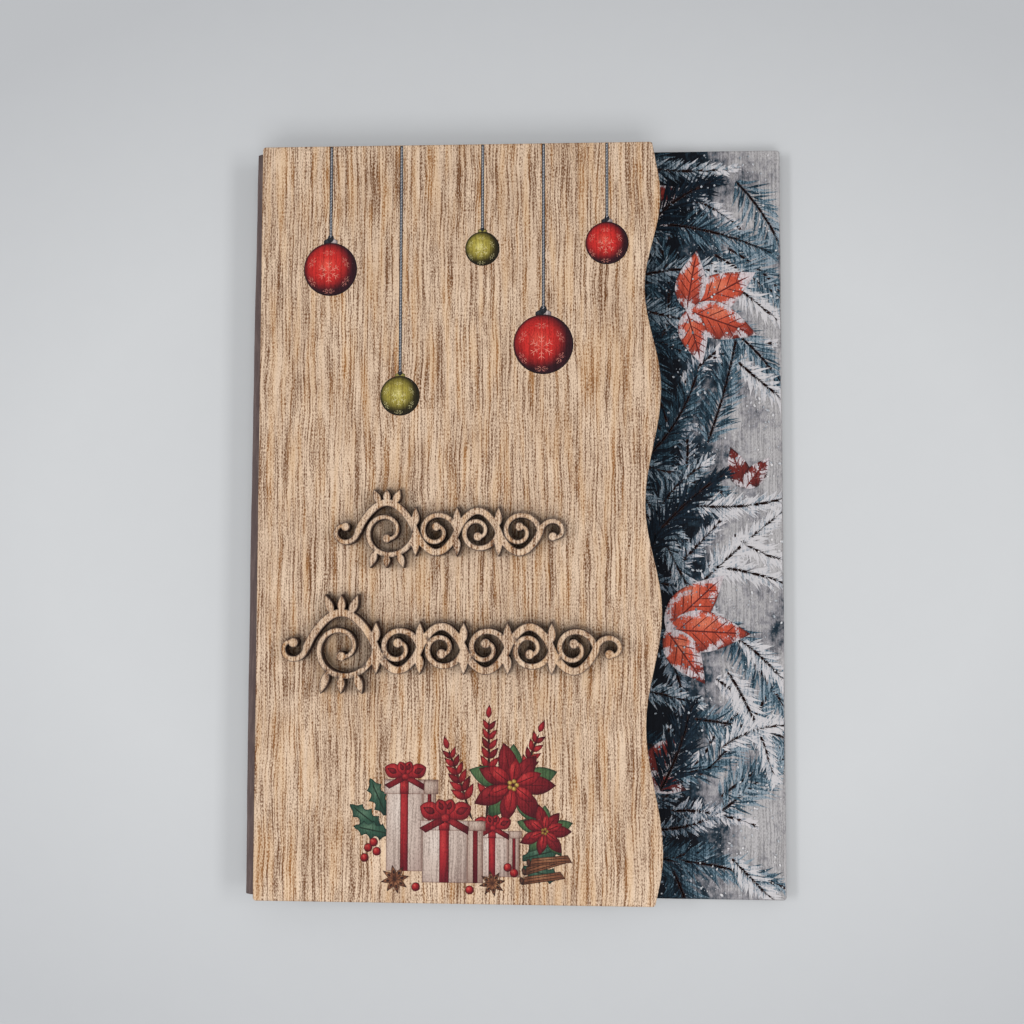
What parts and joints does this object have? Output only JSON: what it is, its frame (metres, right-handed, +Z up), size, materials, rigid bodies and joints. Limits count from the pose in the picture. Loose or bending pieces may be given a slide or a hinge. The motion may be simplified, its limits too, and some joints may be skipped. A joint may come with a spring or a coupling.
{
  "type": "wooden money holder",
  "caption": "Booklet-style wooden money holder: wavy-edged oak cover on a cloth spine, framed space for banknotes, printed back panel.",
  "frame": {"origin": "centre of the holder's box, on the surface it lies on", "axes": "+X from the spine towards the opening edge, +Y along the spine away from the viewer, +Z up through the closed cover"},
  "size_m": [0.1214, 0.17, 0.0129],
  "materials": {
    "printed_panel": "wood board, printed with a dark winter pattern, laser-cut edges",
    "raw_board": "brown fibreboard, laser-cut edges",
    "book_cloth": "dark brown woven book cloth",
    "oak_face": "oak-faced board, matt, printed, laser-cut edges",
    "oak_scrollwork": "oak-faced board, matt, scorched laser-cut walls"
  },
  "bodies": {
    "back": {"back_panel": "printed_panel", "note_frame": "raw_board", "spine_strip": "book_cloth"},
    "cover": {"front_cover": "oak_face", "upper_scrollwork": "oak_scrollwork", "lower_scrollwork": "oak_scrollwork"}
  },
  "joints": [
    {"name": "cover_hinge", "type": "hinge", "parent": "back", "child": "cover", "pos_m": [-0.0603, 0, 0.0066], "axis": [0, -1, 0], "range_deg": [0, 179], "deforming": ["spine_strip"]}
  ]
}
